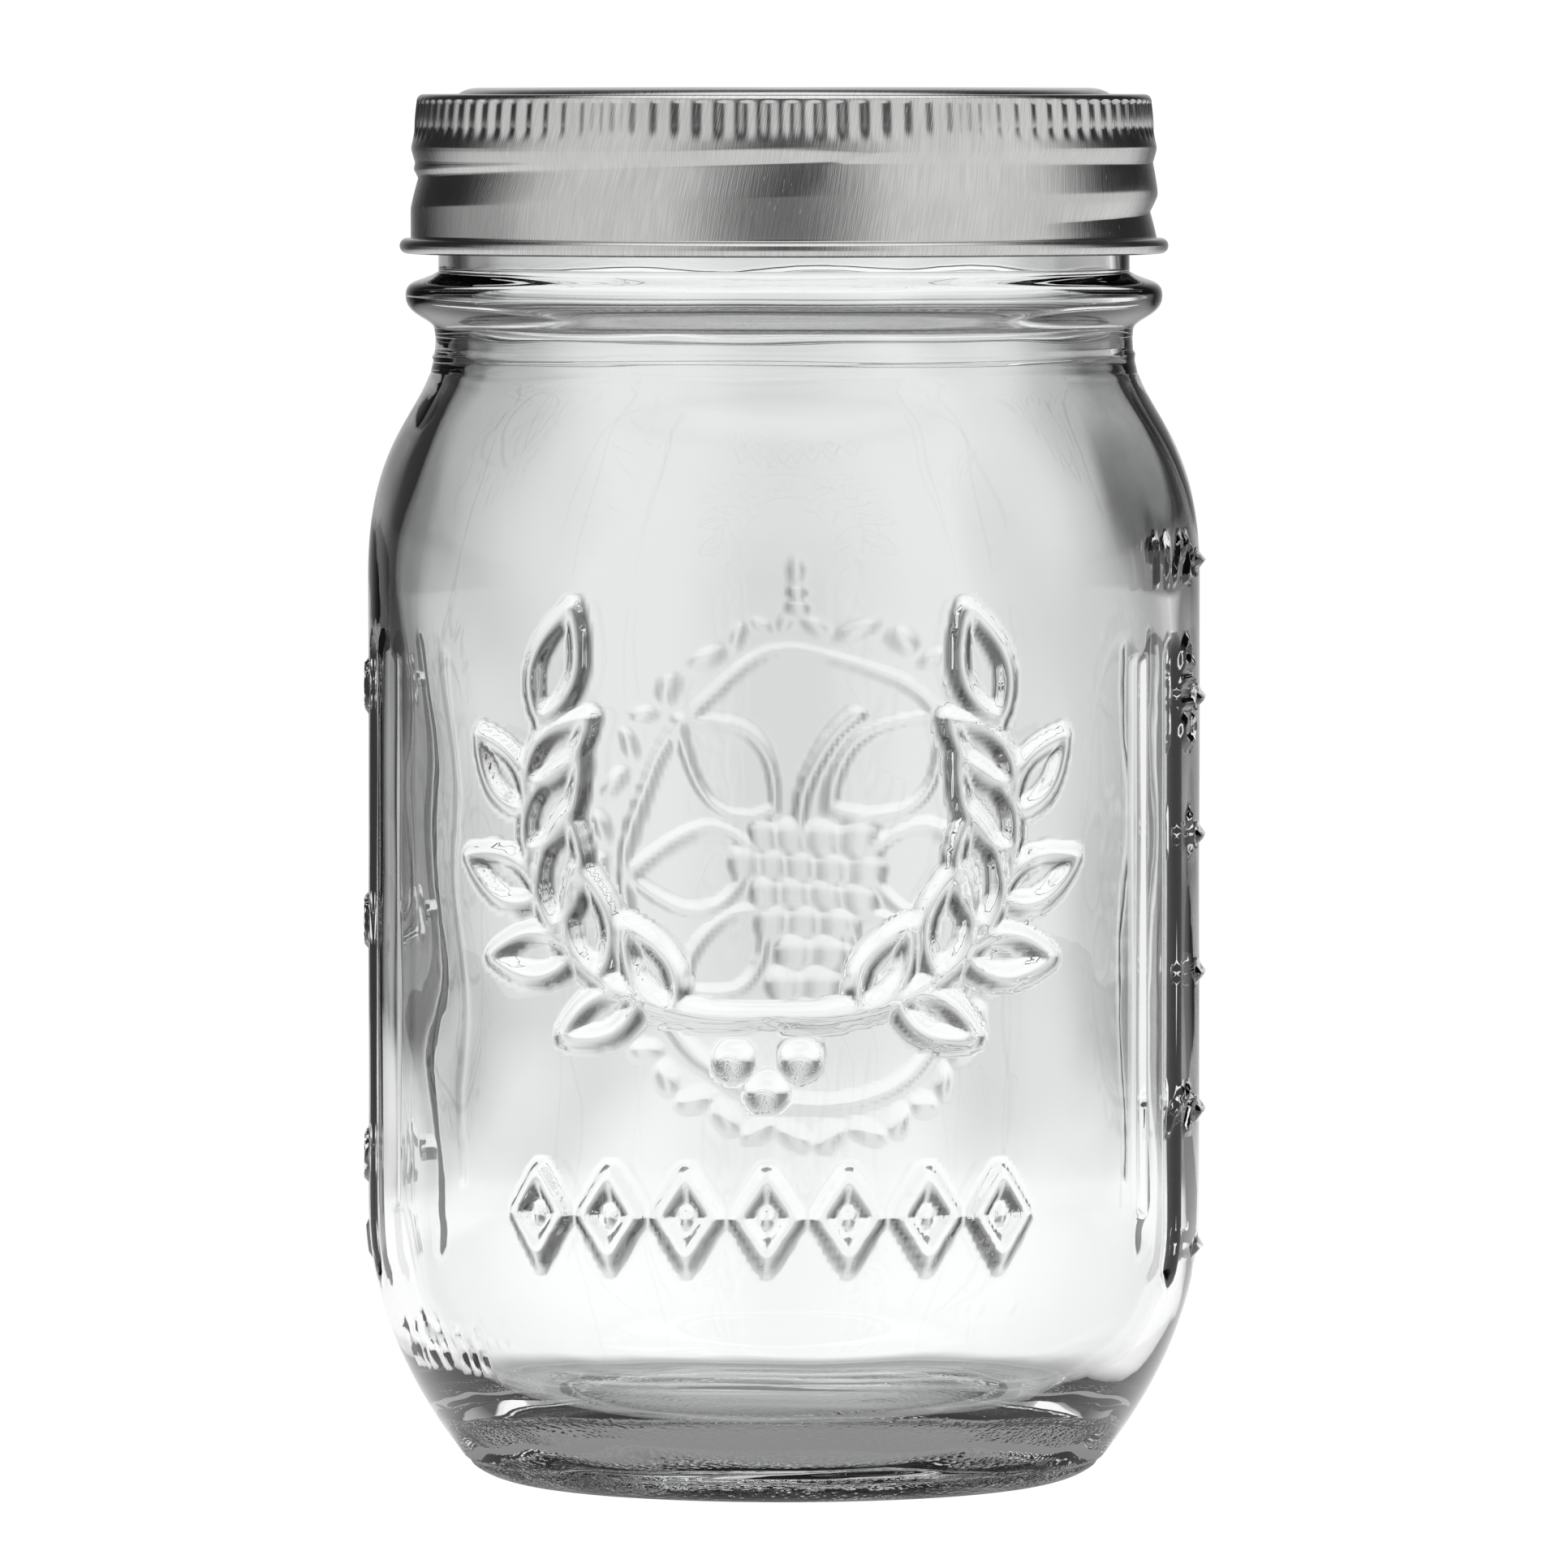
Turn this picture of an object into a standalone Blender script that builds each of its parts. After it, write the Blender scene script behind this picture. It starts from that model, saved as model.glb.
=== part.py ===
"""Mason jar: a regular-mouth pint with a two-piece screw closure.

Four pieces: the moulded glass jar, the stamped tinplate lid disc, the sealing
ring bonded under the disc's rim, and the rolled screw band. The jar stands on
z = 0 with its axis on +Z, and its front faces -Y. Each closure piece is built
about the jar's axis, with its own zero height on the plane of the glass lip.
"""
import math

import bmesh
import bpy

MM = 0.001
SEGMENTS = 48
TOUCH_GAP = 0.3 * MM

# Glass body
BODY_RADIUS = 39.9 * MM
NECK_RADIUS = 33.41 * MM
FINISH_RADIUS = 33.15 * MM
BORE_RADIUS = 30.15 * MM
INNER_RADIUS = 37.0 * MM
LIP_HEIGHT = 130.8 * MM
LIP_ROUND = 0.85 * MM

# Base: a flat bearing ring around a push-up, with a long rounded heel
BEARING_INNER = 23.0 * MM
BEARING_OUTER = 25.0 * MM
PARTING_RADIUS = 30.42 * MM
PARTING_HEIGHT = 2.09 * MM
HEEL_TOP = 26.07 * MM
PUSH_UP = 2.8 * MM
FLOOR_HEIGHT = 5.9 * MM
FLOOR_EDGE = (21.4 * MM, 5.5 * MM)

# Handles that bend the outside curves, (radius, height)
CORNER_HANDLES = ((27.8 * MM, 0.25 * MM), (29.4 * MM, 1.1 * MM))
HEEL_HANDLES = ((31.4 * MM, 3.46 * MM), (BODY_RADIUS, 13.28 * MM))
SHOULDER_HANDLES = ((BODY_RADIUS, 101.97 * MM), (NECK_RADIUS, 102.5 * MM))
BEAD_BELOW_HANDLES = ((33.9 * MM, 111.7 * MM), (36.3 * MM, 111.9 * MM))
BEAD_ABOVE_HANDLES = ((36.3 * MM, 115.4 * MM), (35.0 * MM, 115.1 * MM))

# The inside, thickest at the shoulder and the heel
BORE_BOTTOM = 110.5 * MM
INNER_SHOULDER_HANDLES = ((29.9 * MM, 102.5 * MM), (36.6 * MM, 100.5 * MM))
INNER_SHOULDER_BOTTOM = 86.0 * MM
INNER_HEEL_TOP = 28.0 * MM
INNER_HEEL_HANDLES = ((INNER_RADIUS, 12.0 * MM), (28.5 * MM, 5.5 * MM))

# Shoulder and the bead below the finish
SHOULDER_BOTTOM = 86.98 * MM
SHOULDER_TOP = 109.73 * MM
BEAD_RADIUS = 36.3 * MM
BEAD_BOTTOM = 110.6 * MM
BEAD_MIDDLE = 113.8 * MM
BEAD_TOP = 116.1 * MM

# Flutes that border the two graduated side panels
FLUTE_WIDTH = 4.3 * MM
FLUTE_DEPTH = 0.7 * MM
FLUTE_BOTTOM = 20.0 * MM
FLUTE_TOP = 81.5 * MM
CUP_PANEL_HALF_ANGLE = math.radians(18)
MILLILITRE_PANEL_HALF_ANGLE = math.radians(14)

# Raised measuring marks: cups on the right side, millilitres on the left
MARK_RADIUS = 0.9 * MM
MARK_STANDOFF = 0.5 * MM
MARK_LENGTH = 7.0 * MM
CUP_MARKS = (22.6 * MM, 13.2 * MM, 6)
MILLILITRE_MARKS = (31.3 * MM, 22.6 * MM, 3)

# Screw thread, right-handed, four turns to the inch
THREAD_PITCH = 6.35 * MM
THREAD_HALF_WIDTH = 1.6 * MM
THREAD_CREST = 0.3
THREAD_FADE = math.radians(28)
GLASS_THREAD_FOOT = 119.2 * MM
GLASS_THREAD_HEIGHT = 1.7 * MM
GLASS_THREAD_START = math.radians(-130)
GLASS_THREAD_END = math.radians(312)
BAND_THREAD_DEPTH = 0.75 * MM
BAND_THREAD_START = math.radians(-42)
BAND_THREAD_END = math.radians(312)
BAND_THREAD_LEVEL = -8.7 * MM
THREAD_ENGAGEMENT = 1.7 * MM
THREAD_ROWS = 13

# Lid disc and sealing ring, heights above the lip plane
SHEET = 0.3 * MM
RING_BOTTOM = TOUCH_GAP
RING_TOP = 1.1 * MM
RING_INNER = 31.0 * MM
RING_OUTER = 33.4 * MM
LID_RADIUS = 34.1 * MM
RIM_BOTTOM = RING_TOP + TOUCH_GAP
RIM_TOP = RIM_BOTTOM + SHEET
RIM_EDGE = 0.5 * MM
PANEL_RADIUS = 31.8 * MM
PANEL_TOP = 2.9 * MM
PANEL_ROUND = 2.6 * MM
PANEL_FOOT = 0.4 * MM
RIM_ROUND = 0.4 * MM

# Screw band, heights above the lip plane
FLANGE_BOTTOM = RIM_TOP + TOUCH_GAP
FLANGE_TOP = FLANGE_BOTTOM + SHEET
FLANGE_INNER = PANEL_RADIUS + 0.5 * MM
BAND_CORNER = 1.1 * MM
KNURL_RADIUS = 35.45 * MM
KNURL_BOTTOM = -1.6 * MM
SKIRT_RADIUS = 35.7 * MM
SKIRT_BOTTOM = -11.3 * MM
CURL_RADIUS = 0.75 * MM
CURL_OUTER = 36.85 * MM
CURL_BOTTOM = -13.0 * MM
CURL_TURN = 110
CURL_TUCK = 0.4 * MM


def clear_scene():
    for item in list(bpy.data.objects):
        bpy.data.objects.remove(item, do_unlink=True)


def principled(name, colour, metallic, roughness, transmission=0.0):
    """A material with the piece's own colour, metallic value and roughness."""
    made = bpy.data.materials.new(name)
    made.use_nodes = True
    shader = made.node_tree.nodes["Principled BSDF"]
    shader.inputs["Base Color"].default_value = (*colour, 1.0)
    shader.inputs["Metallic"].default_value = metallic
    shader.inputs["Roughness"].default_value = roughness
    shader.inputs["Transmission Weight"].default_value = transmission
    made.diffuse_color = (*colour, 1.0)
    made.metallic = metallic
    made.roughness = roughness
    return made


def curve(first, first_handle, last_handle, last, steps):
    """Points along a cubic curve in the (radius, height) plane, ends included."""
    points = []
    for step in range(steps + 1):
        t = step / steps
        weights = ((1 - t) ** 3, 3 * t * (1 - t) ** 2, 3 * t * t * (1 - t), t ** 3)
        corners = (first, first_handle, last_handle, last)
        radius = sum(w * corner[0] for w, corner in zip(weights, corners))
        height = sum(w * corner[1] for w, corner in zip(weights, corners))
        points.append((radius, height))
    return points


def arc(centre, radius, start, end, steps):
    """Points along a circular arc in the (radius, height) plane, angles in degrees."""
    points = []
    for step in range(steps + 1):
        angle = math.radians(start + (end - start) * step / steps)
        points.append((centre[0] + radius * math.cos(angle),
                       centre[1] + radius * math.sin(angle)))
    return points


def thread_heights(bottom, top):
    """Evenly spaced heights for the rows that carry a screw thread."""
    return [bottom + (top - bottom) * row / THREAD_ROWS for row in range(THREAD_ROWS + 1)]


def ridge(angle, height, level, start, end):
    """How far up a helical ridge this place is: 0 off the ridge, 1 on its crest.

    level is the crest's height where the angle is zero, and start and end are
    the angles where the ridge runs out.
    """
    share = 0.0
    for turn in (-1, 0, 1):
        along = angle + 2 * math.pi * turn
        if not start < along < end:
            continue
        crest = level + THREAD_PITCH * along / (2 * math.pi)
        across = abs(height - crest) / THREAD_HALF_WIDTH
        slope = min(max((1 - across) / (1 - THREAD_CREST), 0.0), 1.0)
        fade = min((along - start) / THREAD_FADE, (end - along) / THREAD_FADE, 1.0)
        share = max(share, smooth(slope) * smooth(fade))
    return share


def smooth(share):
    return share * share * (3 - 2 * share)


def turned(name, profile, finish, closed=False):
    """A solid of revolution about the jar's axis.

    The profile runs up the outside and back down the inside. It either starts
    and ends on the axis, or is closed into a ring.
    """
    bm = bmesh.new()
    verts = [bm.verts.new((radius, 0.0, height)) for radius, height in profile]
    edges = [bm.edges.new(pair) for pair in zip(verts, verts[1:])]
    if closed:
        edges.append(bm.edges.new((verts[-1], verts[0])))
    bmesh.ops.spin(bm, geom=verts + edges, axis=(0, 0, 1), cent=(0, 0, 0),
                   angle=2 * math.pi, steps=SEGMENTS, use_merge=True)
    bmesh.ops.remove_doubles(bm, verts=bm.verts, dist=0.002 * MM)
    bmesh.ops.recalc_face_normals(bm, faces=bm.faces)
    return add_object(name, bm, finish)


def add_object(name, bm, finish=None):
    mesh = bpy.data.meshes.new(name)
    bm.to_mesh(mesh)
    bm.free()
    mesh.shade_smooth()
    mesh.set_sharp_from_angle(angle=math.radians(40))
    if finish:
        mesh.materials.append(finish)
    piece = bpy.data.objects.new(name, mesh)
    bpy.context.scene.collection.objects.link(piece)
    return piece


def move_walls(piece, shift):
    """Move each vertex along its own radius by shift(radius, angle, height)."""
    for vert in piece.data.vertices:
        radius = math.hypot(vert.co.x, vert.co.y)
        if radius < MM:
            continue
        angle = math.atan2(vert.co.y, vert.co.x)
        moved = radius + shift(radius, angle, vert.co.z)
        vert.co.x = moved * math.cos(angle)
        vert.co.y = moved * math.sin(angle)


def glass_profile():
    """Outline of the glass, from the middle of the push-up round to the floor."""
    base = [(0.0, PUSH_UP), (0.75 * BEARING_INNER, 0.75 * PUSH_UP),
            (0.93 * BEARING_INNER, 0.35 * PUSH_UP), (BEARING_INNER, 0.0)]
    corner = curve((BEARING_OUTER, 0.0), *CORNER_HANDLES, (PARTING_RADIUS, PARTING_HEIGHT), 4)
    heel = curve((PARTING_RADIUS, PARTING_HEIGHT), *HEEL_HANDLES, (BODY_RADIUS, HEEL_TOP), 8)
    shoulder = curve((BODY_RADIUS, SHOULDER_BOTTOM), *SHOULDER_HANDLES,
                     (NECK_RADIUS, SHOULDER_TOP), 8)
    bead_below = curve((NECK_RADIUS, BEAD_BOTTOM), *BEAD_BELOW_HANDLES,
                       (BEAD_RADIUS, BEAD_MIDDLE), 3)
    bead_above = curve((BEAD_RADIUS, BEAD_MIDDLE), *BEAD_ABOVE_HANDLES,
                       (FINISH_RADIUS, BEAD_TOP), 3)
    finish = [(FINISH_RADIUS, height)
              for height in thread_heights(GLASS_THREAD_FOOT, LIP_HEIGHT - LIP_ROUND)]
    lip = (arc((FINISH_RADIUS - LIP_ROUND, LIP_HEIGHT - LIP_ROUND), LIP_ROUND, 0, 90, 3)[1:]
           + arc((BORE_RADIUS + LIP_ROUND, LIP_HEIGHT - LIP_ROUND), LIP_ROUND, 90, 180, 3))
    inner_shoulder = curve((BORE_RADIUS, BORE_BOTTOM), *INNER_SHOULDER_HANDLES,
                           (INNER_RADIUS, INNER_SHOULDER_BOTTOM), 7)
    inner_heel = curve((INNER_RADIUS, INNER_HEEL_TOP), *INNER_HEEL_HANDLES, FLOOR_EDGE, 7)
    return (base + corner + heel[1:] + shoulder + bead_below + bead_above[1:]
            + finish + lip + inner_shoulder + inner_heel + [(0.0, FLOOR_HEIGHT)])


def glass_thread(radius, angle, height):
    on_wall = abs(radius - FINISH_RADIUS) < 0.01 * MM and height > BEAD_TOP + MM
    if not on_wall:
        return 0.0
    level = LIP_HEIGHT + BAND_THREAD_LEVEL + THREAD_ENGAGEMENT
    return GLASS_THREAD_HEIGHT * ridge(angle, height, level,
                                       GLASS_THREAD_START, GLASS_THREAD_END)


def flute_cutter(name, angle):
    """A tall round-ended bar that bites into the wall along its whole length."""
    half = FLUTE_WIDTH / 2
    bar_radius = (half * half + FLUTE_DEPTH * FLUTE_DEPTH) / (2 * FLUTE_DEPTH)
    reach = (FLUTE_TOP - FLUTE_BOTTOM) / 2 - half
    middle = (FLUTE_TOP + FLUTE_BOTTOM) / 2
    bm = bmesh.new()
    bmesh.ops.create_uvsphere(bm, u_segments=24, v_segments=12, radius=bar_radius)
    for vert in bm.verts:
        if abs(vert.co.z) > 0.01 * MM:
            vert.co.z += math.copysign(reach, vert.co.z)
    cutter = add_object(name, bm)
    distance = BODY_RADIUS + bar_radius - FLUTE_DEPTH
    cutter.location = (distance * math.cos(angle), distance * math.sin(angle), middle)
    return as_tool(cutter)


def as_tool(cutter):
    cutter.hide_render = True
    cutter.display_type = "WIRE"
    return cutter


def measuring_marks(name, angle, marks):
    """Short raised bars up one side of the jar, as one group of rounded rods."""
    first, step, count = marks
    bm = bmesh.new()
    for index in range(count):
        made = bmesh.ops.create_uvsphere(bm, u_segments=8, v_segments=6, radius=MARK_RADIUS)
        for vert in made["verts"]:
            vert.co.y *= MARK_LENGTH / (2 * MARK_RADIUS)
            vert.co.z += first + step * index
    bars = add_object(name, bm)
    distance = BODY_RADIUS + MARK_STANDOFF - MARK_RADIUS
    bars.location = (distance * math.cos(angle), distance * math.sin(angle), 0.0)
    bars.rotation_euler = (0.0, 0.0, angle)
    return as_tool(bars)


def boolean(piece, tool, operation):
    cut = piece.modifiers.new(tool.name, "BOOLEAN")
    cut.solver = "EXACT"
    cut.operation = operation
    cut.object = tool


def make_jar(finish):
    jar = turned("jar_glass", glass_profile(), finish)
    move_walls(jar, glass_thread)
    for panel, middle, half_angle in (("cup", 0.0, CUP_PANEL_HALF_ANGLE),
                                      ("millilitre", math.pi, MILLILITRE_PANEL_HALF_ANGLE)):
        for side in (-1, 1):
            cutter = flute_cutter(f"{panel}_flute_{side + 1}", middle + side * half_angle)
            boolean(jar, cutter, "DIFFERENCE")
    boolean(jar, measuring_marks("cup_marks", 0.0, CUP_MARKS), "UNION")
    boolean(jar, measuring_marks("millilitre_marks", math.pi, MILLILITRE_MARKS), "UNION")


def lid_profile():
    """Outline of the stamped disc: panel, step, rim and turned-down edge."""
    outside = curve((PANEL_RADIUS - PANEL_ROUND, PANEL_TOP), (PANEL_RADIUS, PANEL_TOP),
                    (PANEL_RADIUS, RIM_TOP), (PANEL_RADIUS + PANEL_FOOT, RIM_TOP), 4)
    edge = arc((LID_RADIUS - RIM_ROUND, RIM_TOP - RIM_ROUND), RIM_ROUND, 90, 0, 3)
    inside = [(radius - SHEET, height - SHEET) for radius, height in reversed(outside)]
    return ([(0.0, PANEL_TOP)] + outside + edge
            + [(LID_RADIUS, RIM_EDGE), (LID_RADIUS - SHEET, RIM_EDGE),
               (LID_RADIUS - SHEET, RIM_BOTTOM)]
            + inside + [(0.0, PANEL_TOP - SHEET)])


def ring_profile():
    """Outline of the sealing ring, a low rounded bead."""
    middle = (RING_INNER + RING_OUTER) / 2
    half = (RING_OUTER - RING_INNER) / 2
    below = [(middle + half * math.cos(turn), RING_TOP - (RING_TOP - RING_BOTTOM)
              * math.sin(-turn) ** 0.6)
             for turn in (math.radians(-180 * step / 6) for step in range(1, 6))]
    return [(RING_OUTER, RING_TOP)] + below + [(RING_INNER, RING_TOP)]


def band_profile():
    """Outline of the rolled band: flange, knurled wall, skirt and bottom curl."""
    corner = arc((KNURL_RADIUS - BAND_CORNER, FLANGE_TOP - BAND_CORNER), BAND_CORNER, 90, 0, 4)
    top = [(FLANGE_INNER, FLANGE_TOP)] + corner
    skirt_rows = thread_heights(SKIRT_BOTTOM, KNURL_BOTTOM)
    skirt = [(skirt_radius(height), height) for height in reversed(skirt_rows)]
    curl_centre = (CURL_OUTER - CURL_RADIUS, CURL_BOTTOM + CURL_RADIUS)
    curl = arc(curl_centre, CURL_RADIUS, CURL_TURN, -CURL_TURN, 6)
    inside_corner = arc((KNURL_RADIUS - BAND_CORNER, FLANGE_TOP - BAND_CORNER),
                        BAND_CORNER - SHEET, 0, 90, 3)
    inside = [(radius - SHEET, height) for radius, height in reversed(skirt)]
    return (top + skirt + curl + [(SKIRT_RADIUS - SHEET, CURL_BOTTOM + CURL_TUCK)]
            + inside + inside_corner + [(FLANGE_INNER, FLANGE_BOTTOM)])


def skirt_radius(height):
    """The skirt widens evenly from the knurled wall down to the curl."""
    share = (KNURL_BOTTOM - height) / (KNURL_BOTTOM - SKIRT_BOTTOM)
    return KNURL_RADIUS + share * (SKIRT_RADIUS - KNURL_RADIUS)


def band_thread(radius, angle, height):
    on_wall = (SKIRT_BOTTOM - 0.01 * MM < height < KNURL_BOTTOM + 0.01 * MM
               and radius < SKIRT_RADIUS + 0.01 * MM)
    if not on_wall:
        return 0.0
    return -BAND_THREAD_DEPTH * ridge(angle, height, BAND_THREAD_LEVEL,
                                      BAND_THREAD_START, BAND_THREAD_END)


def main():
    clear_scene()
    glass = principled("clear_glass", (0.93, 0.96, 0.95), 0.0, 0.03, 1.0)
    tin = principled("tinplate", (0.72, 0.71, 0.68), 1.0, 0.32)
    compound = principled("sealing_compound", (0.42, 0.40, 0.38), 0.0, 0.55)

    make_jar(glass)
    closure = bpy.data.objects.new("closure", None)
    closure.location.z = LIP_HEIGHT
    bpy.context.scene.collection.objects.link(closure)
    lid = turned("lid_disc", lid_profile(), tin)
    ring = turned("sealing_ring", ring_profile(), compound, closed=True)
    band = turned("screw_band", band_profile(), tin, closed=True)
    move_walls(band, band_thread)
    for piece in (lid, ring, band):
        piece.parent = closure


main()
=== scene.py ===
"""Looks of the mason jar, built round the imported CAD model.

Clear pressed glass with raised decoration and graduations, a knurled tinplate
screw band, a stamped lid disc and its sealing ring, on a pale studio floor.
The front faces -Y, the jar's axis is +Z, and everything is in metres.
"""
import math

import bpy
import numpy as np
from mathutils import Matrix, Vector


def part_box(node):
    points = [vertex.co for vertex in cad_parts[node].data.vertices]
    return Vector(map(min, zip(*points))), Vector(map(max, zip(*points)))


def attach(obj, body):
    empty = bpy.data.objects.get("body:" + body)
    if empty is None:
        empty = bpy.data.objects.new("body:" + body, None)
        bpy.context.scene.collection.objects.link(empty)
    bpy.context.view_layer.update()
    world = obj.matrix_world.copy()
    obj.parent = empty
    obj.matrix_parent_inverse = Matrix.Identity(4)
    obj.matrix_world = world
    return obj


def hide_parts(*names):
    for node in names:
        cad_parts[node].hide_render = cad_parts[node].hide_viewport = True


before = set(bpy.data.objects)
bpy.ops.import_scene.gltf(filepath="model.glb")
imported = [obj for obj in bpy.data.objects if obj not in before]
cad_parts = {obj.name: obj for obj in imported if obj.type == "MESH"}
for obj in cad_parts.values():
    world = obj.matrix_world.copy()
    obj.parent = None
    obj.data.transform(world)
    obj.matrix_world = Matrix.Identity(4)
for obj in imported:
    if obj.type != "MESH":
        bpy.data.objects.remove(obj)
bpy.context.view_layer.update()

MM = 0.001
FRONT = -math.pi / 2
RIGHT = 0.0
BACK = math.pi / 2
LEFT = math.pi

# Places and sizes read from the frame
glass_low, glass_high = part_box("jar_glass")
lid_low, lid_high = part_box("lid_disc")
ring_low, ring_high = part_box("sealing_ring")
band_low, band_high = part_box("screw_band")
BODY_RADIUS = glass_high.y
LIP_HEIGHT = glass_high.z

# Glass walls
NECK_RADIUS = 33.41 * MM
FINISH_RADIUS = 33.15 * MM
BORE_RADIUS = 30.15 * MM
INNER_RADIUS = 37.0 * MM
LIP_ROUND = 0.85 * MM
BEARING_INNER = 23.0 * MM
BEARING_OUTER = 25.0 * MM
PARTING_RADIUS = 30.42 * MM
PARTING_HEIGHT = 2.09 * MM
HEEL_TOP = 26.07 * MM
PUSH_UP = 2.8 * MM
FLOOR_HEIGHT = 5.9 * MM
FLOOR_EDGE = (21.4 * MM, 5.5 * MM)
SHOULDER_BOTTOM = 86.98 * MM
SHOULDER_TOP = 109.73 * MM
BEAD_RADIUS = 36.3 * MM
BEAD_BOTTOM = 110.6 * MM
BEAD_MIDDLE = 113.8 * MM
BEAD_TOP = 116.1 * MM

# Screw thread, right-handed, and the two stretches of angle that it runs over
THREAD_PITCH = 6.35 * MM
THREAD_CREST = 0.3
THREAD_FADE = math.radians(28)
GLASS_THREAD_BELOW_LIP = 7.2 * MM
GLASS_THREAD_START, GLASS_THREAD_END = math.radians(-130), math.radians(312)
GLASS_THREAD_HEIGHT = 1.6 * MM
GLASS_THREAD_HALF_WIDTH = 1.5 * MM
BAND_THREAD_BELOW_LIP = 9.0 * MM
BAND_THREAD_START, BAND_THREAD_END = math.radians(-50), math.radians(300)
BAND_THREAD_FADE = math.radians(34)
BAND_THREAD_DEPTH = 0.72 * MM
BAND_RING_DEPTH = 0.42 * MM

# Camera: a long lens, level with the lid and a little to the jar's right
VIEW_DISTANCE = 1.5
VIEW_HEIGHT = 0.136
VIEW_TURN = math.radians(4)
VIEW_TARGET = 66.9 * MM
LENS = 359.0
SENSOR = 36.0


# ---------------------------------------------------------------- outlines

def curve(first, first_handle, last_handle, last, steps):
    """Points along a cubic curve in a plane, both ends included."""
    t = np.linspace(0, 1, steps + 1)[:, None]
    corners = np.array([first, first_handle, last_handle, last], float)
    return ((1 - t) ** 3 * corners[0] + 3 * t * (1 - t) ** 2 * corners[1]
            + 3 * t * t * (1 - t) * corners[2] + t ** 3 * corners[3])


def arc(centre, radius, start, end, steps):
    """Points along a circular or elliptical arc, angles in degrees."""
    turn = np.radians(np.linspace(start, end, steps + 1))
    radii = np.broadcast_to(radius, 2)
    return np.stack([centre[0] + radii[0] * np.cos(turn),
                     centre[1] + radii[1] * np.sin(turn)], 1)


def line(first, last, steps=1):
    """Points along a straight stretch, both ends included."""
    return np.linspace(first, last, steps + 1)


def smooth(share):
    """Eases a share from 0 to 1, level at both ends."""
    share = np.clip(share, 0, 1)
    return share * share * (3 - 2 * share)


def chain(*parts):
    """Joins outlines end to end, leaving out points that repeat."""
    points = np.concatenate([np.atleast_2d(part) for part in parts])
    step = np.hypot(*np.diff(points, axis=0).T)
    keep = np.concatenate([[True], step > 0.005 * MM])
    return points[keep]


# ---------------------------------------------------------------- meshes

def grid_faces(first, rows, columns):
    """Quads between neighbouring rows of a grid that wraps round the axis."""
    row = np.arange(rows - 1)[:, None]
    column = np.arange(columns)[None, :]
    here = first + row * columns + column
    beside = first + row * columns + (column + 1) % columns
    return np.stack([here, beside, beside + columns, here + columns], -1).reshape(-1, 4).tolist()


def pole_faces(pole, first, columns, upward):
    """Triangles from one row of a grid to a point on the axis."""
    faces = []
    for column in range(columns):
        here = first + column
        beside = first + (column + 1) % columns
        faces.append((pole, here, beside) if upward else (pole, beside, here))
    return faces


def ring_points(angles, radius, height):
    """Vertices of a grid: one row for each outline point, one column for each angle."""
    radius, height, angles = np.broadcast_arrays(radius, height, angles)
    points = np.stack([radius * np.cos(angles), radius * np.sin(angles), height], -1)
    return points.reshape(-1, 3)


def add_piece(name, points, faces, material, body, node):
    """A visible piece: it rides on its body and stands for its CAD node."""
    mesh = bpy.data.meshes.new(name)
    mesh.from_pydata(points.tolist(), [], faces)
    mesh.validate()
    mesh.shade_smooth()
    mesh.materials.append(material)
    piece = bpy.data.objects.new(name, mesh)
    bpy.context.scene.collection.objects.link(piece)
    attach(piece, body)
    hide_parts(node)
    return piece


def ridge(angles, heights, level, start, end, half_width):
    """Share of a helical ridge's height at each place, 1 on its crest.

    level is the crest's height where the angle is zero, and start and end are
    the angles where the ridge runs out.
    """
    share = np.zeros(np.broadcast(angles, heights).shape)
    for turn in (-1, 0, 1):
        along = angles + 2 * math.pi * turn
        crest = level + THREAD_PITCH * along / (2 * math.pi)
        across = np.abs(heights - crest) / half_width
        fade = np.minimum(along - start, end - along) / THREAD_FADE
        share = np.maximum(share, smooth((1 - across) / (1 - THREAD_CREST)) * smooth(fade))
    return share


def ripple(angles, heights, seed, waves, longest, shortest):
    """A gentle seeded unevenness, from -1 to 1, that closes round the jar."""
    draw = np.random.default_rng(seed)
    total = 0.0
    for _ in range(waves):
        length = draw.uniform(shortest, longest)
        slant = draw.uniform(0, 2 * math.pi)
        around = round(math.cos(slant) * 2 * math.pi * BODY_RADIUS / length)
        up = math.sin(slant) * 2 * math.pi / length
        total = total + np.cos(around * angles + up * heights + draw.uniform(0, 2 * math.pi))
    return total / math.sqrt(waves) / 1.5


# ---------------------------------------------------------------- relief on the glass

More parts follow.
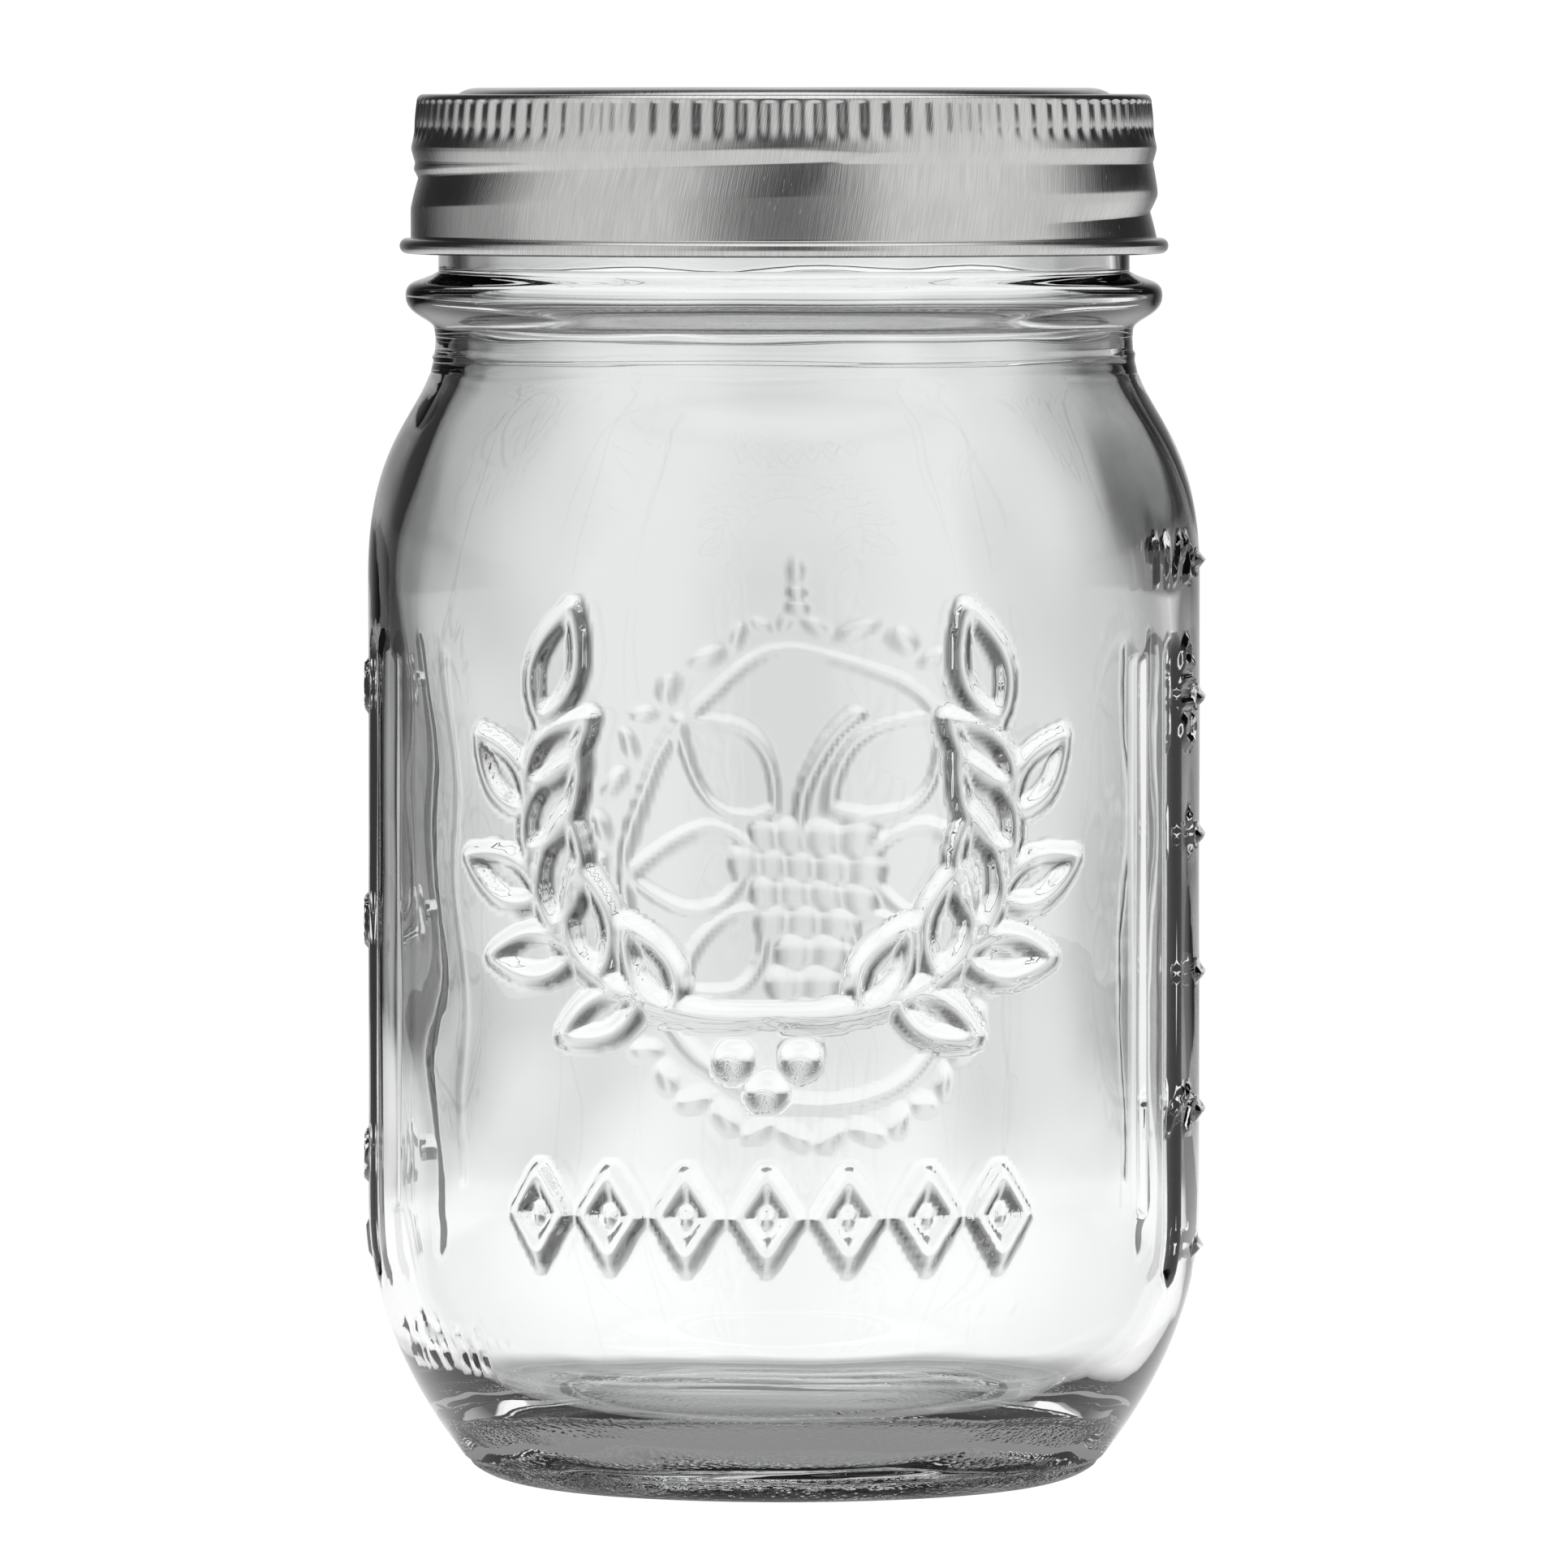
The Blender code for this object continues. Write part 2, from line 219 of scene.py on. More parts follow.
class Panel:
    """A patch of the outer wall laid flat, that raised shapes are drawn on.

    across is the distance round the wall from the patch's middle, to the right
    as one faces it, and up is the height above the base, both in millimetres.
    """

    def __init__(self, angles, heights, middle, reach, bottom, top):
        turned = (angles - middle + math.pi) % (2 * math.pi) - math.pi
        across = turned * BODY_RADIUS / MM
        self.columns = np.flatnonzero(np.abs(across) < reach)
        self.rows = np.flatnonzero((heights / MM > bottom) & (heights / MM < top))
        self.across, self.up = np.meshgrid(across[self.columns], heights[self.rows] / MM)
        self.relief = np.zeros(self.across.shape)

    def stroke(self, path, width, proud):
        """Raises a round-backed line along a path. width may taper point by point."""
        path = np.asarray(path, float)
        half = np.broadcast_to(np.asarray(width, float) / 2, len(path))
        low = path.min(0) - half.max()
        high = path.max(0) + half.max()
        near = ((self.across > low[0]) & (self.across < high[0])
                & (self.up > low[1]) & (self.up < high[1]))
        x, y = self.across[near], self.up[near]
        best = np.ones(len(x))
        local = np.zeros(len(x))
        for start, end, wide, next_wide in zip(path, path[1:], half, half[1:]):
            run = end - start
            t = ((x - start[0]) * run[0] + (y - start[1]) * run[1]) / max(run @ run, 1e-9)
            t = np.clip(t, 0, 1)
            here = wide + t * (next_wide - wide)
            off = np.hypot(x - start[0] - t * run[0], y - start[1] - t * run[1]) / here
            nearer = off < best
            best[nearer] = off[nearer]
            local[nearer] = here[nearer]
        raised = proud * np.sqrt(local / half.max()) * (1 - best ** 2) ** 0.75
        self.relief[near] = np.maximum(self.relief[near], raised)

    def dome(self, centre, radii, proud, slant=0.0):
        """Raises a round or oval drop."""
        x, y = self.across - centre[0], self.up - centre[1]
        turn = math.radians(slant)
        u = (x * math.cos(turn) + y * math.sin(turn)) / radii[0]
        v = (y * math.cos(turn) - x * math.sin(turn)) / radii[1]
        raised = proud * np.clip(1 - u * u - v * v, 0, 1) ** 0.6
        self.relief = np.maximum(self.relief, raised)

    def add_to(self, wall):
        wall[np.ix_(self.rows, self.columns)] += self.relief * MM


def leaf(base, heading, length, width, bend=0.0):
    """Closed outline of a pointed leaf, from its base along a heading in degrees."""
    t = np.linspace(0, 1, 15)
    side = width / 2 * np.sin(math.pi * t ** 0.85) ** 0.9
    spine = bend * np.sin(math.pi * t)
    along = np.concatenate([t, t[-2::-1]]) * length
    off = np.concatenate([spine + side, (spine - side)[-2::-1]])
    turn = math.radians(heading)
    return np.stack([base[0] + along * math.cos(turn) - off * math.sin(turn),
                     base[1] + along * math.sin(turn) + off * math.cos(turn)], 1)


def glyph(letter):
    """Strokes of a plain numeral or unit letter, one unit high."""
    shapes = {
        "0": [arc((0.3, 0.5), (0.28, 0.5), 0, 360, 20)],
        "1": [[(0.12, 0.78), (0.34, 1.0), (0.34, 0.0)]],
        "2": [chain(arc((0.3, 0.7), (0.27, 0.3), 170, -20, 10), [(0.02, 0.0), (0.6, 0.0)])],
        "3": [arc((0.28, 0.75), (0.26, 0.25), 150, -90, 10),
              arc((0.28, 0.25), (0.3, 0.25), 90, -150, 10)],
        "C": [arc((0.34, 0.5), (0.32, 0.5), 45, 315, 16)],
        "U": [chain([(0.04, 1.0)], arc((0.32, 0.3), (0.28, 0.3), 180, 360, 10), [(0.6, 1.0)])],
        "P": [[(0.06, 0.0), (0.06, 1.0)],
              chain([(0.06, 1.0)], arc((0.3, 0.74), (0.28, 0.26), 90, -90, 10), [(0.06, 0.48)])],
        "m": [[(0.0, 0.0), (0.0, 0.6)], arc((0.18, 0.4), (0.18, 0.2), 180, 0, 8),
              [(0.36, 0.4), (0.36, 0.0)], arc((0.54, 0.4), (0.18, 0.2), 180, 0, 8),
              [(0.72, 0.4), (0.72, 0.0)]],
        "l": [[(0.1, 0.0), (0.1, 1.0)]],
        "/": [[(0.0, 0.0), (0.6, 1.0)]],
    }
    return [np.asarray(path, float) for path in shapes[letter]]


def write(panel, text, corner, size, turned=False, width=0.75, proud=0.45):
    """Raised numerals or unit letters, starting at a lower-left corner."""
    cursor = 0.0
    for letter in text:
        for path in glyph(letter):
            x, y = (path[:, 0] * size + cursor), path[:, 1] * size
            placed = np.stack([corner[0] - y, corner[1] + x] if turned
                              else [corner[0] + x, corner[1] + y], 1)
            panel.stroke(placed, width, proud)
        cursor += size * {"1": 0.72, "l": 0.4, "m": 1.05}.get(letter, 0.88)


def draw_front(panel):
    """A wreath of two mirrored sprigs that meet over three berries, and a row of lozenges."""
    width, proud, middle = 2.6, 0.85, 1.2
    inner = ((0.2, 9.0, 48), (0.38, 10.5, 46), (0.56, 11.0, 44), (0.74, 10.5, 42), (0.9, 9.0, 40))
    outer = ((0.29, 8.5, -46), (0.47, 9.5, -46), (0.65, 9.5, -44), (0.82, 9.0, -42))
    for side in (-1, 1):
        stem = curve((0.0, 47.0), (16.0, 45.5), (29.0, 56.0), (22.5, 74.5), 36)
        stem = stem * (side, 1.0) + (middle, 0.0)
        taper = np.interp(np.linspace(0, 1, 37), [0, 0.15, 0.8, 1], [1.8, 2.6, 2.2, 1.2])
        panel.stroke(stem, taper, proud)
        for share, length, lean in inner + outer + ((1.0, 11.0, 0),):
            index = round(share * 36)
            ahead = stem[min(index + 1, 36)] - stem[index - 1]
            heading = math.degrees(math.atan2(ahead[1], ahead[0])) + side * lean
            panel.stroke(leaf(stem[index], heading, length, 0.43 * length), width * 0.82, proud)
    for across, up in ((-3.1, 42.8), (3.1, 42.8), (0.0, 39.8)):
        panel.dome((middle + across, up), (1.8, 1.8), 0.85)
    pitch, row = 7.6, 28.0
    for step in range(-3, 4):
        centre = (middle + pitch * step, row)
        corners = arc(centre, (2.6, 3.9), 0, 360, 4)
        panel.stroke(corners, 2.1, proud)
        panel.dome(centre, (0.75, 1.1), 0.6)


def draw_back(panel):
    """An oval frame with a beaded outer border, round a bunch of berries and leaves."""
    middle, oval = (0.0, 55.6), (19.9, 22.6)
    panel.stroke(arc(middle, oval, 0, 360, 90), 1.3, 0.36)
    for step in range(40):
        turn = 360 * (step + 0.5) / 40
        place = arc(middle, (oval[0] + 3.0, oval[1] + 3.0), turn, turn, 1)[0]
        panel.dome(place, (1.7, 0.8), 0.3, slant=turn + (52 if step % 2 else 112))
    for step in range(3):
        panel.dome((0.0, 83.0 + 2.7 * step), (1.45 - 0.2 * step, 1.45 - 0.2 * step), 0.42)
    for row, count in enumerate((4, 5, 4, 3, 2, 2, 1, 1)):
        for place in range(count):
            across = (place - (count - 1) / 2) * 3.5 + (0.5 if row % 2 else -0.4)
            panel.dome((across, 60.5 - 3.1 * row), (2.1, 2.1), 0.55)
    panel.stroke(curve((0.0, 61.0), (0.5, 65.0), (-1.5, 69.0), (-5.0, 72.0), 12), 1.6, 0.42)
    for side in (-1, 1):
        for base, lean, length in (((3.0, 63.5), 52, 14.0), ((6.5, 58.5), 98, 13.0),
                                   ((5.0, 52.0), 128, 12.0)):
            root = (side * base[0], base[1])
            outline = leaf(root, 90 - side * lean, length, 0.62 * length, -0.8 * side)
            panel.stroke(outline, 1.3, 0.36)


def draw_cup_scale(panel):
    """Six ticks, numerals at each half cup, and the unit turned on its side."""
    for step in range(6):
        height = 22.6 + 13.2 * step
        panel.stroke(line((-3.6, height), (3.6, height)), 1.2, 0.6)
    size = 3.6
    for text, height in (("1/2", 36.4), ("1", 62.8), ("11/2", 88.8)):
        left = -5.4 - size * 0.86 * len(text)
        write(panel, text, (left, height - size / 2), size)
    write(panel, "CUP", (-5.6, 71.2), 4.2, turned=True)


def draw_millilitre_scale(panel):
    """Three ticks and numerals, with the unit below."""
    for step in range(3):
        height = 31.3 + 22.6 * step
        write(panel, f"{step + 1}00", (-3.6, height - 2.1), 4.2)
        panel.stroke(line((-9.5, height), (-5.2, height)), 1.1, 0.5)
    write(panel, "ml", (-2.2, 21.6), 3.2)


def draw_mould_dots(panel, heights, first, step, present):
    """Short rows of small dots low on the heel."""
    for row, height in enumerate(heights):
        for place in range(present):
            if (place * 5 + row * 3) % 7 in (2, 5):
                continue
            panel.dome((first + step * place, height), (0.55, 0.5), 0.35)


def flutes(angles, heights):
    """Depth of the round-ended upright grooves beside the two graduated panels.

    Each is a wide flute with a narrow, shallow one beside it, away from the panel.
    """
    depth = np.zeros(np.broadcast(angles, heights).shape)
    for middle, half_angle, width, bottom, top, deep in (
            (RIGHT, 18, 4.3, 20.0, 81.5, 0.75), (LEFT, 14, 4.3, 20.0, 81.5, 0.75),
            (RIGHT, 28.5, 1.5, 27.0, 80.0, 0.26), (LEFT, 26, 1.5, 27.0, 80.0, 0.2)):
        half = width / 2 * MM
        for side in (-1, 1):
            place = middle + side * math.radians(half_angle)
            turned = (angles - place + math.pi) % (2 * math.pi) - math.pi
            past = np.maximum(heights - (top * MM - half), (bottom * MM + half) - heights)
            away = np.hypot(turned * BODY_RADIUS / half, np.clip(past, 0, None) / half)
            depth = np.maximum(depth, deep * np.clip(1 - away ** 2, 0, 1) ** 0.8)
    return depth * MM


# ---------------------------------------------------------------- the glass jar

def outer_outline():
    """The glass from the middle of its push-up, up the outside, to the top of the lip."""
    base = curve((0.6 * MM, PUSH_UP), (14.0 * MM, PUSH_UP), (20.0 * MM, 2.0 * MM),
                 (BEARING_INNER, 0.0), 14)
    corner = curve((BEARING_OUTER, 0.0), (27.8 * MM, 0.25 * MM), (29.4 * MM, 1.1 * MM),
                   (PARTING_RADIUS, PARTING_HEIGHT), 12)
    heel = curve((PARTING_RADIUS, PARTING_HEIGHT), (31.4 * MM, 3.46 * MM),
                 (BODY_RADIUS, 13.28 * MM), (BODY_RADIUS, HEEL_TOP), 44)
    body = line((BODY_RADIUS, HEEL_TOP), (BODY_RADIUS, SHOULDER_BOTTOM), 138)
    shoulder = curve((BODY_RADIUS, SHOULDER_BOTTOM), (BODY_RADIUS, 101.97 * MM),
                     (NECK_RADIUS, 102.5 * MM), (NECK_RADIUS, SHOULDER_TOP), 56)
    bead_below = curve((NECK_RADIUS, BEAD_BOTTOM), (33.9 * MM, 111.7 * MM),
                       (BEAD_RADIUS, 111.9 * MM), (BEAD_RADIUS, BEAD_MIDDLE), 10)
    bead_above = curve((BEAD_RADIUS, BEAD_MIDDLE), (BEAD_RADIUS, 115.4 * MM),
                       (35.0 * MM, 115.1 * MM), (FINISH_RADIUS, BEAD_TOP), 10)
    finish = line((FINISH_RADIUS, 116.5 * MM), (FINISH_RADIUS, LIP_HEIGHT - LIP_ROUND), 30)
    lip = arc((FINISH_RADIUS - LIP_ROUND, LIP_HEIGHT - LIP_ROUND), LIP_ROUND, 0, 90, 6)
    bearing = line((BEARING_INNER, 0.0), (BEARING_OUTER, 0.0), 4)
    return chain(base, bearing, corner, heel, body, shoulder, bead_below, bead_above, finish, lip)


def inner_outline():
    """The glass from the top of the lip, down the inside, to the middle of the floor."""
    lip = arc((BORE_RADIUS + LIP_ROUND, LIP_HEIGHT - LIP_ROUND), LIP_ROUND, 90, 180, 6)
    bore = line((BORE_RADIUS, LIP_HEIGHT - LIP_ROUND), (BORE_RADIUS, 110.5 * MM), 16)
    shoulder = curve((BORE_RADIUS, 110.5 * MM), (29.9 * MM, 102.5 * MM),
                     (36.6 * MM, 100.5 * MM), (INNER_RADIUS, 86.0 * MM), 32)
    body = line((INNER_RADIUS, 86.0 * MM), (INNER_RADIUS, 28.0 * MM), 50)
    heel = curve((INNER_RADIUS, 28.0 * MM), (INNER_RADIUS, 12.0 * MM), (28.5 * MM, 5.5 * MM),
                 FLOOR_EDGE, 40)
    floor = curve(FLOOR_EDGE, (20.9 * MM, FLOOR_EDGE[1] + 0.35 * MM), (17.0 * MM, FLOOR_HEIGHT),
                  (0.6 * MM, FLOOR_HEIGHT), 18)
    return chain(lip, bore, shoulder, body, heel, floor)


def column_angles(zones, wide_step):
    """Angles round the jar in order, closer together inside the zones.

    Each zone is (middle, half width, step). The count is a multiple of four.
    """
    fine = np.linspace(-math.pi, math.pi, 7201)
    density = np.full(fine.shape, 1 / wide_step)
    for middle, half, step in zones:
        away = np.abs((fine - middle + math.pi) % (2 * math.pi) - math.pi)
        density[away < half] = 1 / step
    total = np.concatenate([[0], np.cumsum((density[1:] + density[:-1]) / 2 * np.diff(fine))])
    count = 4 * round(total[-1] / 4)
    return np.interp(np.arange(count) * total[-1] / count, total, fine)


def outer_wall(angles, outline):
    """Radius and height of every place on the outside, with all its raised work."""
    radius, height = outline[:, :1], outline[:, 1:]
    relief = np.zeros((len(outline), len(angles)))
    heights = outline[:, 1].copy()
    heights[outline[:, 0] < PARTING_RADIUS] = -1.0
    for middle, reach, bottom, top, draw in (
            (FRONT, 40.0, 18.0, 92.0, draw_front),
            (BACK, 32.0, 20.0, 92.0, draw_back),
            (RIGHT, 18.0, 18.0, 94.0, draw_cup_scale),
            (LEFT, 18.0, 18.0, 94.0, draw_millilitre_scale)):
        panel = Panel(angles, heights, middle, reach, bottom, top)
        draw(panel)
        panel.add_to(relief)
    back_heel = Panel(angles, heights, BACK, 32.0, 4.0, 18.0)
    draw_mould_dots(back_heel, (12.6,), -26.0, 2.0, 11)
    back_heel.add_to(relief)
    left_heel = Panel(angles, heights, FRONT, 52.0, 4.0, 20.0)
    draw_mould_dots(left_heel, (15.5, 13.2), -47.0, 1.7, 10)
    left_heel.add_to(relief)

    level = LIP_HEIGHT - GLASS_THREAD_BELOW_LIP
    on_finish = (height > BEAD_TOP + 0.5 * MM) & (radius > FINISH_RADIUS - 0.01 * MM)
    thread = ridge(angles, height, level, GLASS_THREAD_START, GLASS_THREAD_END,
                   GLASS_THREAD_HALF_WIDTH)
    relief += np.where(on_finish, GLASS_THREAD_HEIGHT * thread, 0.0)
    on_body = (height > PARTING_HEIGHT) & (height < SHOULDER_TOP)
    relief -= np.where(on_body, flutes(angles, height), 0.0)
    relief += np.where(on_body, 0.025 * MM * ripple(angles, height, 5, 14, 30 * MM, 9 * MM), 0.0)
    for seam, proud, wander in ((108.1, 0.2, 0.25), (110.4, 0.16, 0.2), (106.4, -0.06, 0.5)):
        off = height / MM - seam - wander * ripple(angles, 0 * height, round(seam), 6, 60 * MM, 15 * MM)
        relief += proud * MM * smooth(1 - np.abs(off) / 0.42) * below_finish(height)
    parting = 0.22 * MM * smooth(1 - np.abs(height - PARTING_HEIGHT) / (0.45 * MM))
    relief -= np.where(radius > BEARING_OUTER, parting, 0.0)
    return radius + relief, height + 0 * angles


def below_finish(height):
    """1 below the finish and 0 above, so that neck seams stay off the lip."""
    return (height < BEAD_BOTTOM + 0.6 * MM).astype(float)


def inner_wall(angles, outline):
    """Radius and height of every place on the inside, slightly uneven like blown glass."""
    radius, height = outline[:, :1], outline[:, 1:]
    uneven = ripple(angles, height, 11, 18, 46 * MM, 14 * MM)
    below_lip = smooth((LIP_HEIGHT - height) / (6 * MM))
    outward = smooth((radius - 0.55 * INNER_RADIUS) / (0.4 * INNER_RADIUS))
    radius = radius + 0.14 * MM * uneven * below_lip * outward
    across, along = radius * np.cos(angles), radius * np.sin(angles)
    lift = 0.0
    for length, slant, phase in ((15, 1.3, 0.4), (9.5, 1.75, 2.1), (7, 1.45, 4.4), (21, 0.3, 1.0)):
        wave = 2 * math.pi / (length * MM)
        lift = lift + np.sin(wave * (across * math.cos(slant) + along * math.sin(slant)) + phase)
    on_floor = smooth((10 * MM - height) / (4 * MM))
    return radius, height + 0.06 * MM * lift * on_floor


def make_glass(material):
    """The jar as one closed skin, with four outside columns to each inside one."""
    zones = ((FRONT, math.radians(50), 0.42 * MM / BODY_RADIUS),
             (BACK, math.radians(42), 0.48 * MM / BODY_RADIUS),
             (RIGHT, math.radians(25), 0.42 * MM / BODY_RADIUS),
             (LEFT, math.radians(22), 0.42 * MM / BODY_RADIUS))
    angles = column_angles(zones, 0.75 * MM / BODY_RADIUS)
    inner_angles = angles[::4]
    outside, inside = outer_outline(), inner_outline()
    outer_points = ring_points(angles, *outer_wall(angles, outside))
    inner_points = ring_points(inner_angles, *inner_wall(inner_angles, inside))
    columns, inner_columns = len(angles), len(inner_angles)
    inner_first = len(outer_points)
    faces = grid_faces(0, len(outside), columns)
    faces += grid_faces(inner_first, len(inside), inner_columns)
    lip_first = (len(outside) - 1) * columns
    for column in range(inner_columns):
        fine = [lip_first + (4 * column + step) % columns for step in range(5)]
        beside = inner_first + (column + 1) % inner_columns
        faces.append(fine + [beside, inner_first + column])
    under_pole = inner_first + len(inner_points)
    floor_pole = under_pole + 1
    faces += pole_faces(under_pole, 0, columns, upward=False)
    floor_first = inner_first + (len(inside) - 1) * inner_columns
    faces += pole_faces(floor_pole, floor_first, inner_columns, upward=True)
    poles = [(0, 0, outside[0][1]), (0, 0, inside[-1][1])]
    points = np.concatenate([outer_points, inner_points, poles])
    return add_piece("glass_body", points, faces, material, "jar", "jar_glass")


# ---------------------------------------------------------------- the closure

RIBS = 104
COLUMNS_PER_RIB = 8
RIB_DEPTH = 0.25 * MM


def band_wall(top):
    """Outline of the band's wall from the skirt up to the top of the knurled part."""
    knurl_radius, bulge_radius, skirt_radius = 35.42 * MM, 35.78 * MM, 35.8 * MM
    knurl_top = knurl_radius - 0.2 * MM
    skirt_bottom = band_low.z + 1.75 * MM
    return chain(line((skirt_radius, skirt_bottom), (skirt_radius, top - 7.2 * MM), 36),
                 curve((skirt_radius, top - 7.2 * MM), (skirt_radius, top - 6.4 * MM),
                       (bulge_radius, top - 5.9 * MM), (bulge_radius, top - 5.45 * MM), 12),
                 curve((bulge_radius, top - 5.45 * MM), (bulge_radius, top - 5.0 * MM),
                       (knurl_radius, top - 3.9 * MM), (knurl_radius, top - 3.1 * MM), 16),
                 curve((knurl_radius, top - 3.1 * MM), (knurl_radius, top - 2.2 * MM),
                       (knurl_top + 0.08 * MM, top - 1.4 * MM), (knurl_top, top - 0.7 * MM), 14))


def rolled_groove(angles, heights, top):
    """Depth of the rolled thread and of the ring groove it starts from.

    Both are sharp along the bottom, steep above it and long and gentle below.
    """
    level = LIP_HEIGHT - BAND_THREAD_BELOW_LIP
    depth = np.zeros(np.broadcast(angles, heights).shape)
    for turn in (-1, 0, 1):
        along = angles + 2 * math.pi * turn
        over = heights - level - THREAD_PITCH * along / (2 * math.pi)
        share = 1 - np.where(over > 0, over / (1.6 * MM), -over / (3.0 * MM))
        from_end = np.minimum(along - BAND_THREAD_START, BAND_THREAD_END - along)
        cut = BAND_THREAD_DEPTH * np.clip(share, 0, 1) ** 1.2
        depth = np.maximum(depth, cut * smooth(from_end / BAND_THREAD_FADE))
    over = heights - (top - 6.55 * MM)
    share = 1 - np.where(over > 0, over / (1.5 * MM), -over / (2.8 * MM))
    return np.maximum(depth, BAND_RING_DEPTH * np.clip(share, 0, 1) ** 1.2)


def make_band(material):
    """The rolled band: bottom curl, threaded skirt, knurled wall, corner and flange."""
    bottom, top = band_low.z, band_high.z
    curl_radius, sheet, corner_radius = 0.75 * MM, 0.3 * MM, 0.7 * MM
    curl_centre = (band_high.x - curl_radius, bottom + curl_radius)
    wall = band_wall(top)
    skirt_bottom, knurl_radius = wall[0][1], wall[-1][0]
    corner_centre = (knurl_radius - corner_radius, top - corner_radius)
    curl = arc(curl_centre, curl_radius, -160, 118, 26)
    corner = arc(corner_centre, corner_radius, 0, 90, 10)
    flange_inner = panel_radius() + 0.5 * MM
    hem = arc((flange_inner, top - sheet / 2), sheet / 2, 90, 270, 6)
    inside_corner = arc(corner_centre, corner_radius - sheet, 90, 0, 6)
    outside = chain(curl, wall, corner)
    inside = chain(hem, inside_corner, (wall - (sheet, 0.0))[::-3])
    outline = np.concatenate([outside, inside])
    columns = RIBS * COLUMNS_PER_RIB
    angles = np.arange(columns) * 2 * math.pi / columns
    radius, height = outline[:, :1], outline[:, 1:]

    on_wall = (height > skirt_bottom - 0.01 * MM) & (height < top - 3.5 * MM)
    on_wall &= radius > knurl_radius - 1.0 * MM
    shift = np.where(on_wall, -rolled_groove(angles, height, top), 0.0)
    slot = (0.5 - 0.5 * np.cos(RIBS * angles)) ** 1.1
    upright = smooth((height - (top - 4.7 * MM)) / (1.7 * MM))
    under_edge = smooth((top - 0.42 * MM - height) / (0.4 * MM))
    past_flange = smooth((radius - (knurl_radius - 1.0 * MM)) / (0.6 * MM))
    shift = shift - RIB_DEPTH * slot * upright * under_edge * past_flange
    dents = 0.03 * MM * ripple(angles, height, 31, 9, 60 * MM, 16 * MM)
    shift = shift + dents * on_wall
    points = ring_points(angles, radius + shift, height)
    faces = grid_faces(0, len(outline), columns)
    last = (len(outline) - 1) * columns
    for column in range(columns):
        beside = (column + 1) % columns
        faces.append((last + column, last + beside, beside, column))
    return add_piece("band_shell", points, faces, material, "band", "screw_band")


def panel_radius():
    """Radius of the lid's raised panel, a set step inside the disc's own edge."""
    return lid_high.x - 2.3 * MM


def make_lid(material):
    """The stamped disc: turned-down edge, rim over the seal, raised ringed panel."""
    sheet = 0.3 * MM
    edge_radius, top = lid_high.x, lid_high.z
    side = panel_radius()
    rim_top = ring_high.z + 0.6 * MM
    step = curve((side + 0.4 * MM, rim_top), (side - 0.2 * MM, rim_top),
                 (side - 0.5 * MM, top - 0.02 * MM), (side - 2.6 * MM, top), 14)
    edge = arc((edge_radius - 0.4 * MM, rim_top - 0.4 * MM), 0.4 * MM, 0, 90, 6)
    panel = [(side - 2.6 * MM, top)]
    rings = ((27.6, 0.0), (27.0, -0.16), (26.4, -0.22), (18.0, -0.26), (9.6, -0.22),
             (9.0, -0.12), (8.4, -0.04), (0.6, 0.0))
    for (outer, fall), (inner, next_fall) in zip(rings, rings[1:]):
        panel += list(line((outer * MM, top + fall * MM), (inner * MM, top + next_fall * MM), 4))
    top_side = chain(edge, step, panel)
    inside = top_side[len(edge) - 1:] - (sheet, sheet)
    inside = inside[inside[:, 0] > 0.4 * MM][::-1]
    hem = [(edge_radius - sheet, rim_top - sheet - 0.1 * MM), (edge_radius - sheet, lid_low.z),
           (edge_radius - sheet / 2, lid_low.z), (edge_radius, lid_low.z + 0.1 * MM)]
    outline = chain(inside, hem, top_side)
    columns = 256
    angles = np.arange(columns) * 2 * math.pi / columns
    points = ring_points(angles, outline[:, :1], outline[:, 1:])
    faces = grid_faces(0, len(outline), columns)
    first_pole = len(points)
    faces += pole_faces(first_pole, 0, columns, upward=False)
    faces += pole_faces(first_pole + 1, (len(outline) - 1) * columns, columns, upward=True)
    poles = [(0, 0, outline[0][1]), (0, 0, outline[-1][1])]
    points = np.concatenate([points, poles])
    return add_piece("lid_plate", points, faces, material, "lid", "lid_disc")


def make_seal(material):
    """The sealing ring: a low bead of compound with a slightly uneven face."""
    outer, low, high = ring_high.x, ring_low.z, ring_high.z
    inner = outer - 2.4 * MM
    middle, half = (outer + inner) / 2, (outer - inner) / 2
    bottom = arc((middle, high - 0.25 * MM), (half, high - 0.25 * MM - low), 180, 360, 16)
    outline = chain(bottom, [(outer, high), (inner, high)])
    columns = 192
    angles = np.arange(columns) * 2 * math.pi / columns
    radius, height = outline[:, :1], outline[:, 1:]
    uneven = 0.04 * MM * ripple(angles, height, 41, 8, 30 * MM, 8 * MM)
    facing_down = height < high - 0.3 * MM
    points = ring_points(angles, radius, height + np.abs(uneven) * facing_down)
    faces = grid_faces(0, len(outline), columns)
    last = (len(outline) - 1) * columns
    for column in range(columns):
        beside = (column + 1) % columns
        faces.append((last + column, last + beside, beside, column))
    return add_piece("seal_bead", points, faces, material, "lid", "sealing_ring")


# ---------------------------------------------------------------- materials

